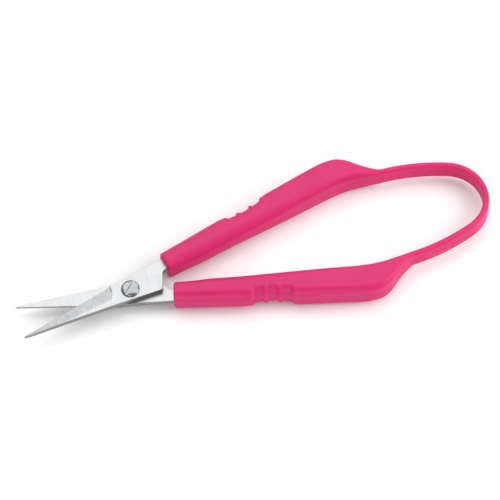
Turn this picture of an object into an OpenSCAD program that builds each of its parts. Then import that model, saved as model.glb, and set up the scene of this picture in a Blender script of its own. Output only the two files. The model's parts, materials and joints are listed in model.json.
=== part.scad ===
// Floral snips with two pointed blades, a slotted pivot screw and a one-piece
// handle whose far end is a springy loop that holds the blades open.
//
// All outlines are drawn in the pivot frame: origin on the pivot axis in the plane
// where the blades meet, +X towards the loop, +Y towards the upper grip. place()
// then stands the snips on z = 0 with the origin under the middle of the whole part.
// The lower half is the upper half turned over about the X axis.

/* [Overall] */
// Distance from the pivot to the blade tips
blade_reach = 47.5; // [46:0.5:50]
// Distance from the pivot to the outside of the loop
loop_reach = 154; // [152:0.5:156]

/* [Blades] */
// Thickness of the blade steel
blade_t = 2.2; // [1.8:0.1:2.6]
// Running gap between the two flat faces
blade_play = 0.04; // [0.02:0.01:0.08]
// Slope of the ground bevel, in degrees
grind_angle = 11.3; // [8:0.1:13]
// Angle of the sharpened edge to the flat face, in degrees
edge_angle = 78; // [70:1:85]
// Radius of the curved end of the bevel
plunge_r = 8; // [7:0.5:9]
// Hole that locks the tang into the plastic
anchor_d = 2.2; // [1.6:0.1:2.6]

/* [Pivot screw] */
// Diameter of the screw head
head_d = 7.6; // [7:0.1:8.4]
// Height of the screw head
head_h = 1.4; // [1.3:0.1:1.8]
// Radius of the domed top of the head
dome_r = 11; // [10:0.5:30]
// Diameter of the shoulder that the front blade turns on
shoulder_d = 5; // [4.4:0.1:5.6]
// Radial clearance of the shoulder in the front blade
running_gap = 0.05; // [0.02:0.01:0.1]
// Diameter of the threaded end in the back blade
thread_d = 3.5; // [3:0.1:4]
// How far the threaded end stands out behind
end_proud = 0.3; // [0.1:0.1:0.6]
// Width of the screwdriver slot
slot_w = 1; // [0.8:0.1:1.2]
// Depth of the screwdriver slot
slot_depth = 0.7; // [0.4:0.1:0.9]
// Direction of the screwdriver slot, in degrees from +X
slot_angle = 47; // [0:1:180]

/* [Handle] */
// Height of the grips
grip_h = 12; // [11.5:0.1:13]
// Radius along the edges of the grips at the back, where they are widest
grip_r = 2.7; // [2.2:0.1:2.8]
// How much larger that radius is at the front
front_r = 1.6; // [0:0.1:1.6]
// Radius around the front end of the grips
nose_r = 1; // [0.6:0.1:1.3]
// Thickness of the loop band
band_t = 2.5; // [2.3:0.1:2.8]
// Height of the loop band
band_h = 8.3; // [7:0.1:9]
// Radius along the edges of the loop band
band_r = 1; // [0.3:0.1:1.1]

/* [Finger rest] */
// Number of ribs on each grip
rib_count = 4; // [2:1:4]
// Distance from rib to rib
rib_pitch = 5.65; // [5:0.05:6]
// Width of a rib at its foot
rib_w = 2.8; // [1.6:0.1:3]
// Depth of the grooves between the ribs
groove_depth = 0.95; // [0.3:0.05:1.1]
// Depth of the shallow scoop that the ribs stand in
rest_depth = 1.15; // [0.8:0.05:1.5]
// Length of the scoop
rest_length = 19.2; // [18:0.1:22]

/* [Hidden] */
$fn = 96;
steel = "silver";
chrome = "gainsboro";
pink = "deeppink";
over = 1;                                   // how far cutters run past a face

pivot_x = (blade_reach - loop_reach) / 2;   // pivot in the part's own frame
mid_z = grip_h / 2;                         // plane where the blades meet

// Blade outline from the tip round the spine: x, y and corner radius. The last four
// points are the tang's end, the side of the tang and the two ends of the straight
// cutting edge, which closes the outline back at the tip.
spine_turn = [-44.5, -7.95];
edge_heel = [-7.6, 4.35];
blade_rows = [
    [-blade_reach, -7.7, 0], [spine_turn.x, spine_turn.y, 8], [-10, -5.4, 30],
    [12.6, -4.2, 1], [14.9, 4.3, 2.5], [46, 11.8, 1.5], [46, 15.8, 1.5],
    [15, 9.5, 20], [2, 6.2, 20], [edge_heel.x, edge_heel.y, 0]];
anchor_at = [38, 12.1];

// Top line of the bevel, and the centre of its curved end
grind_from = [-30, -6.9];
grind_to = [-10, -2.7];
plunge_at = [-15.5, 2];

// Loop: a round end of end_r, up to end_angle from the X axis, and a flatter arc from
// there to band_mid, where the grip takes over. The two arcs share a tangent where
// they meet, which gives the slope of the band at the grip.
band_mid = [115, 21.05];
end_r = 16.6;
end_angle = 69;
end_centre = [loop_reach - band_t / 2 - end_r, 0];
arcs_meet = end_centre + end_r * [cos(end_angle), sin(end_angle)];
band_chord = [arcs_meet.x - band_mid.x, band_mid.y - arcs_meet.y];
band_tilt = 2 * angle_of(band_chord) - (90 - end_angle);

// Stations of the upper grip from its nose to the loop: x and y on the inner side,
// x and y on the outer side, height, edge radius. The short steep stretch on the
// inner side is the back of the flat pad at the nose.
band_side = [sin(band_tilt), cos(band_tilt)] * band_t / 2;
band_in = band_mid - band_side;
band_out = band_mid + band_side;
grip_rows = [
    [17.75, 3.05, 15.35, 11.45, grip_h - 0.6, grip_r + front_r * 0.45],
    [25.4, 4.45, 22.8, 14.05, grip_h - 0.8, grip_r + front_r * 0.95],
    [32.45, 5.6, 29.55, 16.1, grip_h - 0.9, grip_r + front_r],
    [34.45, 6.1, 31.55, 16.7, grip_h - 0.9, grip_r + front_r],
    [44.45, 8.5, 41.35, 19.6, grip_h - 0.8, grip_r + front_r],
    [56.35, 11.15, 53.25, 22.75, grip_h - 0.6, grip_r + front_r * 0.9],
    [68.95, 14.15, 65.65, 25.95, grip_h - 0.3, grip_r + front_r * 0.5],
    [80.25, 16.9, 76.75, 28.8, grip_h, grip_r + front_r * 0.2],
    [91.2, 19.55, 88.1, 31.8, grip_h, grip_r],
    [95.65, 20.3, 92.85, 32.75, grip_h, grip_r],
    [99.6, 20.75, 97.9, 32.75, grip_h - 0.1, grip_r],
    [103.55, 20.75, 102.25, 30.85, grip_h - 0.6, grip_r - 0.2],
    [107.05, 20.5, 106.15, 27.55, grip_h - 1.5, grip_r - 0.7],
    [110.5, 20.2, 110.2, 24.65, band_h + 0.9, grip_r - 1.3],
    [band_in.x, band_in.y, band_out.x, band_out.y, band_h, band_r]];
end_slope = [1, -tan(band_tilt), 1, -tan(band_tilt), 0, 0];
grip_steps = 3;                             // stations between two rows
rest_steps = 27;                            // the same where the ribs are
side_steps = 8;                             // stations along each flatter arc
end_steps = 24;                             // stations round the end of the loop
corner_steps = 5;                           // facets of each rounded edge

// Middle of the finger rest, along X on the outer side of the grip
rest_mid = 54.15;

function unit(v) = v / norm(v);
function across(v) = [-v.y, v.x];
function angle_of(v) = atan2(v.y, v.x);
// The same angle, between -180 and 180
function wrap(a) = a - 360 * round(a / 360);

// Points that round off the corner b of the path a, b, c
function corner(a, b, c, r) = r == 0 ? [b] :
    let (u = unit(a - b), v = unit(c - b), half = acos(u * v) / 2,
         centre = b + unit(u + v) * r / sin(half),
         first = angle_of(b + u * r / tan(half) - centre),
         turn = wrap(angle_of(b + v * r / tan(half) - centre) - first),
         steps = max(1, ceil(abs(turn) / 6)))
    [for (i = [0 : steps])
        centre + r * [cos(first + turn * i / steps), sin(first + turn * i / steps)]];
function rounded(rows) = let (n = len(rows), xy = [for (p = rows) [p.x, p.y]])
    [for (i = [0 : n - 1])
        each corner(xy[(i + n - 1) % n], xy[i], xy[(i + 1) % n], rows[i][2])];

// A smooth curve through rows of numbers, with the first number as its parameter,
// which runs straight on into the loop band
function slope(rows, i) = i == len(rows) - 1 ? end_slope :
    let (a = rows[max(i - 1, 0)], b = rows[i + 1]) (b - a) / (b[0] - a[0]);
function between(rows, i, u) =
    let (h = rows[i + 1][0] - rows[i][0], rise = u * u * (3 - 2 * u))
    rows[i] * (1 - rise) + rows[i + 1] * rise
    + h * (slope(rows, i) * u * (1 - u) * (1 - u) - slope(rows, i + 1) * u * u * (1 - u));
function steps_after(rows, i) =
    rows[i][2] < rest_mid + rest_length / 2 && rows[i + 1][2] > rest_mid - rest_length / 2
    ? rest_steps : grip_steps;
function smooth(rows) =
    [for (i = [0 : len(rows) - 2]) let (n = steps_after(rows, i))
        for (k = [0 : n - 1]) between(rows, i, k / n),
     rows[len(rows) - 1]];

// How far the outer side is drawn in at x: by the scoop, by the grooves that leave the
// ribs standing, and by a faint hollow past the first and the last rib
function ease(u) = let (v = min(1, u)) v * v * (3 - 2 * v);
function rest_at(x) =
    let (t = 2 * (x - rest_mid) / rest_length,
         n = (x - rest_mid) / rib_pitch + (rib_count - 1) / 2,
         past_ribs = max(0, -n, n - (rib_count - 1)),
         off_rib = abs(n - round(n)) * rib_pitch,
         share = past_ribs == 0 ? 1 : max(0, 0.3 - 0.6 * past_ribs))
    max(0, rest_depth * (1 - t * t)) + groove_depth * share * ease(2 * off_rib / rib_w);

// Cross-section of the grip at one station: a rectangle with rounded corners that
// stands on the line from the inner to the outer side. It is drawn in by inset and
// moved forward by ahead, which together round off the nose.
function section(s, inset = 0, ahead = 0) =
    let (side = [s[2] - s[0], s[3] - s[1]], out = unit(side), r = s[5] - inset * 0.6,
         width = norm(side) - rest_at(s[2]),
         middle = [s[0], s[1]] + out * width / 2 + across(out) * ahead,
         half_w = width / 2 - inset - r,
         half_h = min(s[4], grip_h) / 2 - inset - r)
    [for (k = [0 : 3], j = [0 : corner_steps])
        let (a = 90 * (k + j / corner_steps),
             w = (k == 0 || k == 3 ? half_w : -half_w) + r * cos(a),
             p = middle + out * w)
        [p.x, p.y, (k < 2 ? half_h : -half_h) + r * sin(a)]];
function nose_sections(s) = [for (a = [0 : 22.5 : 67.5])
    section(s, nose_r * (1 - sin(a)), -nose_r * (1 - cos(a)))];

// A solid skinned over rings that all have the same number of points
module skin(rings) {
    n = len(rings[0]);
    last = len(rings) - 1;
    polyhedron(
        points = [for (ring = rings) each ring],
        faces = [
            [for (j = [0 : n - 1]) j],
            for (i = [0 : last - 1], j = [0 : n - 1]) let (k = (j + 1) % n)
                each [[i * n + j, (i + 1) * n + k, i * n + k],
                      [i * n + j, (i + 1) * n + j, (i + 1) * n + k]],
            [for (j = [n - 1 : -1 : 0]) last * n + j]],
        convexity = 8);
}

// Stands the pivot frame in the part's own frame
module place() {
    translate([pivot_x, 0, mid_z]) children();
}

// The same thing seen from the other side of the blades
module turned_over() {
    rotate([180, 0, 0]) children();
}

// Blank of a blade: the plate with its tang, before it is drilled and ground
module blade_blank() {
    translate([0, 0, blade_play / 2]) linear_extrude(blade_t) difference() {
        polygon(rounded(blade_rows));
        translate(anchor_at) circle(d = anchor_d);
    }
}

// Everything above a plane that rises from the line p, q at the given angle, to the
// left of the line and to the height given by lift
module wedge(p, q, angle, lift) {
    translate([p.x, p.y, lift]) rotate([0, 0, angle_of(q - p)]) rotate([-angle, 0, 0])
        translate([-60, -20, 0]) cube([160, 60, 20]);
}

// The bevel ends at a curved line in front of the pivot
module grind_reach() {
    translate([plunge_at.x, plunge_at.y, 0]) cylinder(r = plunge_r, h = blade_t + over);
    translate([-80, -30, 0]) cube([80 + plunge_at.x, 60, blade_t + over]);
}

module blade(hole_d) {
    difference() {
        blade_blank();
        intersection() {
            wedge(grind_from, grind_to, grind_angle, blade_play / 2 + blade_t);
            grind_reach();
        }
        intersection() {
            translate([edge_heel.x, edge_heel.y, blade_play / 2])
                rotate([0, 0, angle_of(edge_heel + [blade_reach, 7.7])])
                rotate([90 - edge_angle, 0, 0])
                translate([-60, 0, -over]) cube([80, 10, 10]);
            grind_reach();
        }
        translate([0, 0, -over]) cylinder(d = hole_d, h = blade_t + 2 * over);
    }
}

module front_blade() {
    color(steel) place() blade(shoulder_d + 2 * running_gap);
}

module back_blade() {
    color(steel) place() turned_over() blade(thread_d);
}

module pivot_screw() {
    head_z = blade_t + blade_play;
    seat_z = -blade_play / 2;
    end_z = seat_z - blade_t - end_proud;
    edge_r = 0.5;
    dome_z = head_z + head_h - dome_r;
    rim = asin((head_d / 2 - edge_r) / (dome_r - edge_r));
    rim_at = [0, dome_z] + (dome_r - edge_r) * [sin(rim), cos(rim)];
    color(chrome) place() difference() {
        rotate_extrude() polygon([
            [0, end_z], [thread_d / 2 - 0.3, end_z], [thread_d / 2, end_z + 0.3],
            [thread_d / 2, seat_z], [shoulder_d / 2, seat_z], [shoulder_d / 2, head_z],
            [head_d / 2, head_z],
            for (i = [0 : 4]) let (a = 90 - (90 - rim) * i / 4)
                rim_at + edge_r * [sin(a), cos(a)],
            for (i = [3 : -1 : 0]) [0, dome_z] + dome_r * [sin(rim * i / 4), cos(rim * i / 4)]]);
        rotate([0, 0, slot_angle]) translate([-head_d, -slot_w / 2, head_z + head_h - slot_depth])
            cube([2 * head_d, slot_w, head_h]);
    }
}

module grip() {
    stations = smooth(grip_rows);
    difference() {
        skin([
            each nose_sections(stations[0]),
            for (i = [1 : len(stations) - 1]) section(stations[i])]);
        blade_blank();
    }
}

module upper_grip() {
    color(pink) place() grip();
}

module lower_grip() {
    color(pink) place() turned_over() grip();
}

// Stations along an arc of the band, and the same station on the other side
function arc_stations(centre, r, from, to, steps) = [for (i = [0 : steps])
    let (a = from + (to - from) * i / steps, out = [cos(a), sin(a)],
         p = centre + out * (r - band_t / 2), q = centre + out * (r + band_t / 2))
    [p.x, p.y, q.x, q.y, band_h, band_r]];
function mirrored(s) = [s[0], -s[1], s[2], -s[3], s[4], s[5]];

module loop_spring() {
    side_r = norm(band_chord) / (2 * sin((90 - end_angle - band_tilt) / 2));
    side_centre = arcs_meet - side_r * [cos(end_angle), sin(end_angle)];
    side = arc_stations(side_centre, side_r, 90 - band_tilt, end_angle, side_steps);
    end = arc_stations(end_centre, end_r, end_angle, -end_angle, end_steps);
    color(pink) place() skin([
        for (i = [0 : side_steps - 1]) section(side[i]),
        for (s = end) section(s),
        for (i = [side_steps - 1 : -1 : 0]) section(mirrored(side[i]))]);
}

front_blade();
back_blade();
pivot_screw();
upper_grip();
lower_grip();
loop_spring();
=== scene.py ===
"""Looks of the floral snips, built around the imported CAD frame.

Lengths are millimetres in the pivot frame of the snips (origin on the pivot axis in the
plane where the blades meet, +X towards the loop, +Y towards the upper grip) until
to_row() turns them into metres in the part's own frame.
"""

import json
import math

import bmesh
import bpy
from mathutils import Matrix, Vector


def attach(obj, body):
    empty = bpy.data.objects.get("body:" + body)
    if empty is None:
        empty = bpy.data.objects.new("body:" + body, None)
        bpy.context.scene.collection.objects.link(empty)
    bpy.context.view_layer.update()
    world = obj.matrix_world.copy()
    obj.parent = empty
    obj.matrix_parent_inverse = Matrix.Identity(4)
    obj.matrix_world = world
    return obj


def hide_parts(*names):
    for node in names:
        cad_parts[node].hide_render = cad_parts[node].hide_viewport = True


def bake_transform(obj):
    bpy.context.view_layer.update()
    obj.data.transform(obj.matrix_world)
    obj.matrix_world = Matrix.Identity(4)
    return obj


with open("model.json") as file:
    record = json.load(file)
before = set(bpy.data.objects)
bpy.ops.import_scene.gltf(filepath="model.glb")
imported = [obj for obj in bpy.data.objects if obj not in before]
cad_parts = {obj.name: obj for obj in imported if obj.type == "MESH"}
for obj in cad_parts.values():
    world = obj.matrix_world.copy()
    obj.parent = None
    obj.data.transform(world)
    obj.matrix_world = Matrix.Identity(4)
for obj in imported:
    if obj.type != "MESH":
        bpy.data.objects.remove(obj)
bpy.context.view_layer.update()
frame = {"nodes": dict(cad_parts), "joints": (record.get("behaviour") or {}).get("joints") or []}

MM = 0.001
PIVOT = Vector(frame["joints"][0]["pos_m"])


def to_row(point):
    """A point of the pivot frame, in metres in the part's own frame."""
    return PIVOT + Vector(point) * MM


# ---------------------------------------------------------------- camera and light

CAMERA_AZIMUTH = -11.5
CAMERA_ELEVATION = 58.9
CAMERA_ROLL = 5.83
CAMERA_DISTANCE = 0.986
CAMERA_TARGET = Vector((-0.0011, 0.0037, PIVOT.z))
SENSOR = 36.0
FOCAL = 171.8

FLOOR_HALF = 6.0                     # half the floor's side, in metres

WORLD_BRIGHTNESS = 0.47
# Name, azimuth, elevation, distance and size in metres, power in watts
SOFTBOXES = (
    ("softbox_back", 170, 59, 0.95, 1.1, 6.5),
    ("softbox_front", -30, 20, 1.1, 0.4, 3.1),
    ("softbox_right", 68, 32, 1.1, 0.8, 7.5))


def facing(azimuth, elevation):
    """The direction from a target to a viewer, azimuth 0 looking along +Y."""
    a = math.radians(azimuth)
    e = math.radians(elevation)
    return Vector((math.sin(a) * math.cos(e), -math.cos(a) * math.cos(e), math.sin(e)))


def add_camera():
    data = bpy.data.cameras.new("camera")
    data.sensor_width = SENSOR
    data.lens = FOCAL
    camera = bpy.data.objects.new("camera", data)
    bpy.context.scene.collection.objects.link(camera)
    back = facing(CAMERA_AZIMUTH, CAMERA_ELEVATION)
    right = Vector((0, 0, 1)).cross(back).normalized()
    up = back.cross(right)
    axes = Matrix((right, up, back)).transposed() @ Matrix.Rotation(
        -math.radians(CAMERA_ROLL), 3, "Z")
    place = Matrix.Translation(CAMERA_TARGET + CAMERA_DISTANCE * back)
    camera.matrix_world = place @ axes.to_4x4()
    bpy.context.scene.camera = camera


def add_area_light(name, azimuth, elevation, distance, size, power):
    """A square soft light that faces the snips."""
    data = bpy.data.lights.new(name, "AREA")
    data.shape = "SQUARE"
    data.size = size
    data.energy = power
    light = bpy.data.objects.new(name, data)
    bpy.context.scene.collection.objects.link(light)
    towards = facing(azimuth, elevation)
    light.location = distance * towards
    light.rotation_euler = towards.to_track_quat("Z", "Y").to_euler()


def add_world(brightness):
    world = bpy.data.worlds.new("studio")
    bpy.context.scene.world = world
    world.use_nodes = True
    background = world.node_tree.nodes["Background"]
    background.inputs["Color"].default_value = (1, 1, 1, 1)
    background.inputs["Strength"].default_value = brightness


# ---------------------------------------------------------------- materials

# Darkest and lightest colour of each material
PINK = ((0.56, 0.013, 0.132), (0.592, 0.015, 0.144))
SATIN_STEEL = ((0.38, 0.385, 0.39), (0.435, 0.44, 0.445))
# The ground bevel's colour is darker than the flats partly for its ground finish and partly as
# painted shade
GROUND_STEEL_AND_SHADE = ((0.29, 0.295, 0.3), (0.41, 0.415, 0.42))
# The blade sides' colour is darker than the flats as painted shade
BLANKED_STEEL_PAINTED_SHADE = ((0.245, 0.25, 0.255), (0.315, 0.32, 0.325))
SCREW_CHROME = ((0.25, 0.255, 0.26), (0.31, 0.315, 0.32))
FLOOR_WHITE = ((0.94, 0.94, 0.94), (0.97, 0.97, 0.97))

NOISE_LOW = 0.3                      # the band that nearly all noise values lie in
NOISE_HIGH = 0.7
LINE_STRETCH = 0.035                 # scale of the noise along a grinding line
BLADE_TURN = 9.2                     # direction of the blades, in degrees from +X


def principled(name, **settings):
    """A material with one Principled shader, and its constant sockets set by name."""
    material = bpy.data.materials.new(name)
    material.use_nodes = True
    shader = material.node_tree.nodes["Principled BSDF"]
    for socket, value in settings.items():
        shader.inputs[socket.replace("_", " ")].default_value = value
    return material, material.node_tree, shader


def noise(tree, scale, stretch=(1, 1, 1), turn=0, detail=3):
    """Noise over the piece's own coordinates, with scale in cells per metre."""
    place = tree.nodes.new("ShaderNodeTexCoord")
    mapping = tree.nodes.new("ShaderNodeMapping")
    mapping.inputs["Rotation"].default_value = (0, 0, math.radians(turn))
    tree.links.new(place.outputs["Object"], mapping.inputs["Vector"])
    spread = tree.nodes.new("ShaderNodeMapping")
    spread.inputs["Scale"].default_value = stretch
    tree.links.new(mapping.outputs["Vector"], spread.inputs["Vector"])
    texture = tree.nodes.new("ShaderNodeTexNoise")
    texture.inputs["Scale"].default_value = scale
    texture.inputs["Detail"].default_value = detail
    tree.links.new(spread.outputs["Vector"], texture.inputs["Vector"])
    return texture.outputs["Fac"]


def spread_over(tree, value, low, high):
    """A noise value, taken to the range from low to high."""
    node = tree.nodes.new("ShaderNodeMapRange")
    node.inputs["From Min"].default_value = NOISE_LOW
    node.inputs["From Max"].default_value = NOISE_HIGH
    node.inputs["To Min"].default_value = low
    node.inputs["To Max"].default_value = high
    tree.links.new(value, node.inputs["Value"])
    return node.outputs["Result"]


def colour_between(tree, value, colours):
    """A noise value, taken to a colour between the darkest and the lightest."""
    ramp = tree.nodes.new("ShaderNodeValToRGB")
    for element, position, colour in zip(ramp.color_ramp.elements,
                                         (NOISE_LOW, NOISE_HIGH), colours):
        element.position = position
        element.color = (*colour, 1)
    tree.links.new(value, ramp.inputs["Fac"])
    return ramp.outputs["Color"]


def bump(tree, shader, value, strength, depth, under=None):
    """Relief of the given depth in metres, on top of the relief under it."""
    node = tree.nodes.new("ShaderNodeBump")
    node.inputs["Strength"].default_value = strength
    node.inputs["Distance"].default_value = depth
    tree.links.new(value, node.inputs["Height"])
    if under is not None:
        tree.links.new(under, node.inputs["Normal"])
    tree.links.new(node.outputs["Normal"], shader.inputs["Normal"])
    return node.outputs["Normal"]


def pink_plastic():
    """Moulded plastic that lets some light in, with a fine grain and a soft swell."""
    material, tree, shader = principled(
        "pink_plastic", IOR=1.46, Specular_IOR_Level=0.34, Subsurface_Weight=0.5,
        Subsurface_Radius=(1, 0.12, 0.3), Subsurface_Scale=0.006)
    cloud = noise(tree, 45, detail=2)
    tree.links.new(colour_between(tree, cloud, PINK), shader.inputs["Base Color"])
    rub = noise(tree, 260, detail=4)
    tree.links.new(spread_over(tree, rub, 0.36, 0.46), shader.inputs["Roughness"])
    grain = noise(tree, 3600, detail=2)
    swell = noise(tree, 120, detail=1)
    soft = bump(tree, shader, swell, 0.25, 0.0004)
    bump(tree, shader, grain, 0.12, 0.00006, under=soft)
    return material


def steel(name, colours, rough, grain_turn, grain, lines=2600):
    """Satin steel with fine grinding lines. They run across grain_turn degrees from +X."""
    material, tree, shader = principled(name, Metallic=1.0)
    streaks = noise(tree, lines, stretch=(1, LINE_STRETCH, 1), turn=-grain_turn)
    tree.links.new(colour_between(tree, streaks, colours), shader.inputs["Base Color"])
    cloud = noise(tree, 180)
    tree.links.new(spread_over(tree, cloud, rough - 0.04, rough + 0.05),
                   shader.inputs["Roughness"])
    bump(tree, shader, streaks, grain, 0.00005)
    return material


def chrome():
    material, tree, shader = principled("screw_chrome", Metallic=1.0)
    haze = noise(tree, 900)
    tree.links.new(colour_between(tree, haze, SCREW_CHROME), shader.inputs["Base Color"])
    tree.links.new(spread_over(tree, haze, 0.1, 0.18), shader.inputs["Roughness"])
    bump(tree, shader, haze, 0.05, 0.00005)
    return material


def floor_paint():
    material, tree, shader = principled("floor_paint", Roughness=0.7)
    cloud = noise(tree, 3, detail=2)
    tree.links.new(colour_between(tree, cloud, FLOOR_WHITE), shader.inputs["Base Color"])
    return material


# ---------------------------------------------------------------- handle

GRIP_H = 12                          # height of the grips
GRIP_R = 2.7                         # radius along their edges at the back
FRONT_R = 1.6                        # how much larger that radius is at the front
NOSE_R = 1.0                         # radius around the front end
NOSE_SHRINK = 0.6                    # how far the edge radius shrinks round the nose
BAND_T = 2.5                         # thickness of the loop band
BAND_H = 8.3                         # its height
BAND_R = 1.0                         # radius along its edges
LOOP_REACH = 154                     # from the pivot to the outside of the loop
BAND_MID = Vector((115, 21.05))      # middle of the band where the grip takes over
END_R = 16.6                         # radius of the round end of the loop
END_ANGLE = 69                       # how far the round end goes, in degrees from +X
SIDE_STEPS = 30                      # stations along the flatter arc of the loop
END_STEPS = 44                       # stations along half of its round end
CORNER_STEPS = 10                    # facets of each rounded edge
NOSE_STEPS = 6                       # stations round the nose
ROW_STEP = 1.2                       # length between two stations of the grip
REST_STEP = 0.25                     # the same where the ribs are
HANDLE_SHARP = 28                    # an edge sharper than this is shaded sharp, in degrees

# The fine parting line round the side: how far each point stands out, and its height
PARTING = ((0, -0.3), (0, -0.12), (0.04, 0), (0, 0.12), (0, 0.3))

REST_MID = 54.15                     # middle of the finger rest, from the pivot
REST_LENGTH = 19.2
REST_DEPTH = 1.15
RIB_COUNT = 4
RIB_PITCH = 5.65
RIB_W = 2.8
GROOVE_DEPTH = 0.95
PAST_SHARE = 0.3                     # depth past the outer ribs, as a share of a groove
PAST_FADE = 0.6                      # how much of it is lost in one rib pitch


def turned(angle):
    """Unit vector at an angle in degrees from +X."""
    a = math.radians(angle)
    return Vector((math.cos(a), math.sin(a)))


def loop_arcs():
    """Radius and centre of the flatter arc of the loop, the centre of the round end, and
    the slope of the band at the grip in degrees."""
    end_centre = Vector((LOOP_REACH - BAND_T / 2 - END_R, 0))
    meet = end_centre + END_R * turned(END_ANGLE)
    chord = meet - BAND_MID
    tilt = 2 * math.degrees(math.atan2(-chord.y, chord.x)) - (90 - END_ANGLE)
    radius = chord.length / (2 * math.sin(math.radians(90 - END_ANGLE - tilt) / 2))
    return radius, meet - radius * turned(END_ANGLE), end_centre, tilt


def arc_stations(centre, radius, first, last, steps):
    """Stations of the loop band along an arc, as in grip_rows()."""
    stations = []
    for i in range(steps + 1):
        out = turned(first + (last - first) * i / steps)
        inner = centre + out * (radius - BAND_T / 2)
        outer = centre + out * (radius + BAND_T / 2)
        stations.append([inner.x, inner.y, outer.x, outer.y, BAND_H, BAND_R])
    return stations


def grip_rows():
    """Inner x and y, outer x and y, height and edge radius along the upper grip."""
    *_, tilt = loop_arcs()
    half = turned(90 - tilt) * BAND_T / 2
    return [
        [17.75, 3.05, 15.35, 11.45, GRIP_H - 0.6, GRIP_R + FRONT_R * 0.45],
        [25.4, 4.45, 22.8, 14.05, GRIP_H - 0.8, GRIP_R + FRONT_R * 0.95],
        [32.45, 5.6, 29.55, 16.1, GRIP_H - 0.9, GRIP_R + FRONT_R],
        [34.45, 6.1, 31.55, 16.7, GRIP_H - 0.9, GRIP_R + FRONT_R],
        [44.45, 8.5, 41.35, 19.6, GRIP_H - 0.8, GRIP_R + FRONT_R],
        [56.35, 11.15, 53.25, 22.75, GRIP_H - 0.6, GRIP_R + FRONT_R * 0.9],
        [68.95, 14.15, 65.65, 25.95, GRIP_H - 0.3, GRIP_R + FRONT_R * 0.5],
        [80.25, 16.9, 76.75, 28.8, GRIP_H, GRIP_R + FRONT_R * 0.2],
        [91.2, 19.55, 88.1, 31.8, GRIP_H, GRIP_R],
        [95.65, 20.3, 92.85, 32.75, GRIP_H, GRIP_R],
        [99.6, 20.75, 97.9, 32.75, GRIP_H - 0.1, GRIP_R],
        [103.55, 20.75, 102.25, 30.85, GRIP_H - 0.6, GRIP_R - 0.2],
        [107.05, 20.5, 106.15, 27.55, GRIP_H - 1.5, GRIP_R - 0.7],
        [110.5, 20.2, 110.2, 24.65, BAND_H + 0.9, GRIP_R - 1.3],
        [BAND_MID.x - half.x, BAND_MID.y - half.y,
         BAND_MID.x + half.x, BAND_MID.y + half.y, BAND_H, BAND_R]]


def smooth(rows):
    """Stations on a smooth curve through the rows, with the first number as parameter,
    which runs straight on into the loop band."""
    *_, tilt = loop_arcs()
    fall = -math.tan(math.radians(tilt))

    def slope(i):
        if i == len(rows) - 1:
            return [1, fall, 1, fall, 0, 0]
        a = rows[max(i - 1, 0)]
        b = rows[i + 1]
        return [(q - p) / (b[0] - a[0]) for p, q in zip(a, b)]

    stations = []
    for i in range(len(rows) - 1):
        length = rows[i + 1][0] - rows[i][0]
        ribbed = (rows[i][2] < REST_MID + REST_LENGTH / 2
                  and rows[i + 1][2] > REST_MID - REST_LENGTH / 2)
        steps = math.ceil(length / (REST_STEP if ribbed else ROW_STEP))
        leave = slope(i)
        arrive = slope(i + 1)
        for k in range(steps):
            u = k / steps
            rise = u * u * (3 - 2 * u)
            stations.append([
                p * (1 - rise) + q * rise
                + length * (a * u * (1 - u) ** 2 - b * u * u * (1 - u))
                for p, q, a, b in zip(rows[i], rows[i + 1], leave, arrive)])
    return stations + [rows[-1]]


def rest_at(x):
    """How far the side is drawn in: by the scoop, by the grooves between the ribs, and
    by a faint hollow past the first and the last rib."""
    t = 2 * (x - REST_MID) / REST_LENGTH
    n = (x - REST_MID) / RIB_PITCH + (RIB_COUNT - 1) / 2
    past_ribs = max(0, -n, n - (RIB_COUNT - 1))
    share = 1 if past_ribs == 0 else max(0, PAST_SHARE - PAST_FADE * past_ribs)
    off_rib = min(1, 2 * abs(n - round(n)) * RIB_PITCH / RIB_W)
    groove = GROOVE_DEPTH * share * off_rib ** 2 * (3 - 2 * off_rib)
    return max(0, REST_DEPTH * (1 - t * t)) + groove


def section(station, inset=0, ahead=0):
    """Ring of points around one station: a rounded rectangle with a fine parting line."""
    inner = Vector(station[0:2])
    side = Vector(station[2:4]) - inner
    out = side.normalized()
    width = side.length - rest_at(station[2])
    r = station[5] - inset * NOSE_SHRINK
    middle = inner + out * width / 2 + Vector((-out.y, out.x)) * ahead
    half_w = width / 2 - inset - r
    half_h = min(station[4], GRIP_H) / 2 - inset - r
    profile = []
    for k in range(4):
        across = half_w if k in (0, 3) else -half_w
        above = half_h if k < 2 else -half_h
        for j in range(CORNER_STEPS + 1):
            corner = turned(90 * (k + j / CORNER_STEPS))
            profile.append((across + r * corner.x, above + r * corner.y))
        if k in (1, 3):
            sign = 1 if k == 3 else -1
            for w, z in PARTING:
                profile.append((sign * (half_w + r + w), sign * z))
    return [(*(middle + out * w), z) for w, z in profile]


def half_handle_rings():
    """The upper half of the handle, from the nose of the grip to the end of the loop."""
    stations = smooth(grip_rows())
    rings = []
    for i in range(NOSE_STEPS):
        a = math.pi / 2 * i / NOSE_STEPS
        rings.append(section(stations[0], NOSE_R * (1 - math.sin(a)),
                             -NOSE_R * (1 - math.cos(a))))
    radius, centre, end_centre, tilt = loop_arcs()
    side = arc_stations(centre, radius, 90 - tilt, END_ANGLE, SIDE_STEPS)
    end = arc_stations(end_centre, END_R, END_ANGLE, 0, END_STEPS)
    rings += [section(s) for s in stations[1:]]
    rings += [section(s) for s in side[1:] + end[1:]]
    return rings


def mesh_piece(name, verts, faces, material):
    """A smooth-shaded piece from points of the pivot frame."""
    mesh = bpy.data.meshes.new(name)
    mesh.from_pydata([to_row(v) for v in verts], [], faces)
    bm = bmesh.new()
    bm.from_mesh(mesh)
    bmesh.ops.recalc_face_normals(bm, faces=bm.faces)
    bm.to_mesh(mesh)
    bm.free()
    mesh.shade_smooth()
    mesh.set_sharp_from_angle(angle=math.radians(HANDLE_SHARP))
    mesh.materials.append(material)
    piece = bpy.data.objects.new(name, mesh)
    bpy.context.scene.collection.objects.link(piece)
    return piece


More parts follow.
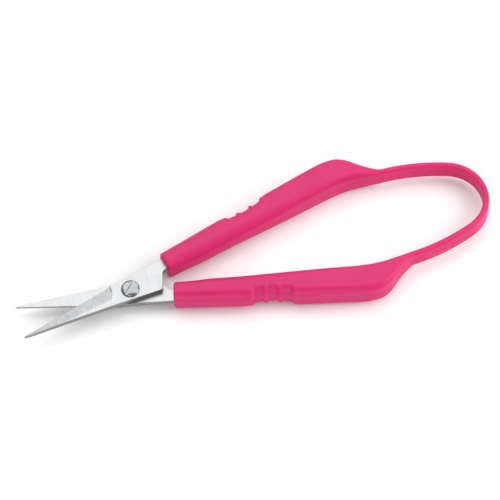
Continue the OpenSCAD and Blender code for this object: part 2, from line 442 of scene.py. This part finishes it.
def skin(rings):
    """A closed skin over rings that all have the same number of points."""
    n = len(rings[0])
    verts = [p for ring in rings for p in ring]
    faces = [list(range(n - 1, -1, -1))]
    for i in range(len(rings) - 1):
        for j in range(n):
            k = (j + 1) % n
            faces.append([i * n + j, i * n + k, (i + 1) * n + k, (i + 1) * n + j])
    faces.append([(len(rings) - 1) * n + j for j in range(n)])
    return verts, faces


def add_handle_half(name, grip_node, flip, material):
    """One grip with its half of the loop, from the loop's end to the grip."""
    verts, faces = skin(half_handle_rings())
    if flip:
        verts = [(x, -y, -z) for x, y, z in verts]
    piece = mesh_piece(name, verts, faces, material)
    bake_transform(piece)
    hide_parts(grip_node, "loop_spring")


# ---------------------------------------------------------------- blades and screw

BLADE_BREAK = 0.07                   # width of the broken edges of a blade
SCREW_BREAK = 0.06                   # the same on the screw
EDGE_ANGLE = 40                      # an edge sharper than this is broken, in degrees
SAME_POINT = 1e-6                    # in metres
SAME_PLANE = 0.4                     # in degrees
BLADE_SHARP = 8                      # an edge sharper than this is shaded sharp, in degrees
SCREW_SHARP = 30
FLAT, BEVEL, SIDE = range(3)         # material slots of a blade
FLAT_RISE = 0.995                    # least upward share of the normal on a flat face
BEVEL_RISE = 0.95                    # the same on the ground bevel


def broken_edges(node, name, break_width):
    """A CAD solid's shape as a new mesh, with its sharp edges slightly rounded."""
    mesh = frame["nodes"][node].data.copy()
    mesh.name = name
    mesh.materials.clear()
    bm = bmesh.new()
    bm.from_mesh(mesh)
    bmesh.ops.remove_doubles(bm, verts=bm.verts, dist=SAME_POINT)
    bmesh.ops.dissolve_limit(bm, angle_limit=math.radians(SAME_PLANE),
                             verts=bm.verts, edges=bm.edges)
    sharp = [e for e in bm.edges
             if len(e.link_faces) == 2 and e.calc_face_angle() > math.radians(EDGE_ANGLE)]
    bmesh.ops.bevel(bm, geom=sharp, offset=break_width * MM, segments=2, profile=0.5,
                    affect="EDGES", clamp_overlap=False)
    bm.to_mesh(mesh)
    bm.free()
    mesh.shade_smooth()
    piece = bpy.data.objects.new(name, mesh)
    bpy.context.scene.collection.objects.link(piece)
    return piece


def add_blade(name, node, body, up, materials):
    """A blade: satin flats, a cross-ground bevel whose darker colour is partly painted shade,
    and blanked sides whose darker colour is painted shade. up is the direction that its ground
    face looks in."""
    piece = broken_edges(node, name, BLADE_BREAK)
    for material in materials:
        piece.data.materials.append(material)
    for face in piece.data.polygons:
        rise = face.normal.z * up
        if abs(rise) > FLAT_RISE:
            face.material_index = FLAT
        elif rise > BEVEL_RISE:
            face.material_index = BEVEL
        else:
            face.material_index = SIDE
    piece.data.set_sharp_from_angle(angle=math.radians(BLADE_SHARP))
    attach(piece, body)
    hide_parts(node)


def add_screw(material):
    piece = broken_edges("pivot_screw", "slotted_pivot_screw", SCREW_BREAK)
    piece.data.materials.append(material)
    piece.data.set_sharp_from_angle(angle=math.radians(SCREW_SHARP))
    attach(piece, "lower_half")
    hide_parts("pivot_screw")


def add_floor(material):
    mesh = bpy.data.meshes.new("floor")
    corners = [(x * FLOOR_HALF, y * FLOOR_HALF, 0)
               for x, y in ((-1, -1), (1, -1), (1, 1), (-1, 1))]
    mesh.from_pydata(corners, [], [(0, 1, 2, 3)])
    mesh.materials.append(material)
    floor = bpy.data.objects.new("floor", mesh)
    bpy.context.scene.collection.objects.link(floor)


# ---------------------------------------------------------------- the scene

add_camera()
add_floor(floor_paint())
add_world(WORLD_BRIGHTNESS)
for softbox in SOFTBOXES:
    add_area_light(*softbox)
bpy.context.scene.view_settings.view_transform = "Standard"

plastic = pink_plastic()
add_handle_half("upper_handle", "upper_grip", False, plastic)
add_handle_half("lower_handle", "lower_grip", True, plastic)

flat = steel("satin_flat", SATIN_STEEL, 0.3, 0, grain=0.05)
# The sides keep a rougher blanked finish; their darker colour is painted shade
side = steel("blanked_side_painted_shade", BLANKED_STEEL_PAINTED_SHADE, 0.4, 90, grain=0.15)
for name, node, body, up in (("front_cutting_blade", "front_blade", "upper_half", 1),
                             ("back_cutting_blade", "back_blade", "lower_half", -1)):
    # The bevel's cross-ground lines are real; its darker colour is partly painted shade
    bevel = steel("ground_bevel_and_shade_" + node, GROUND_STEEL_AND_SHADE, 0.34, up * BLADE_TURN,
                  grain=0.3, lines=2400)
    add_blade(name, node, body, up, [flat, bevel, side])
add_screw(chrome())
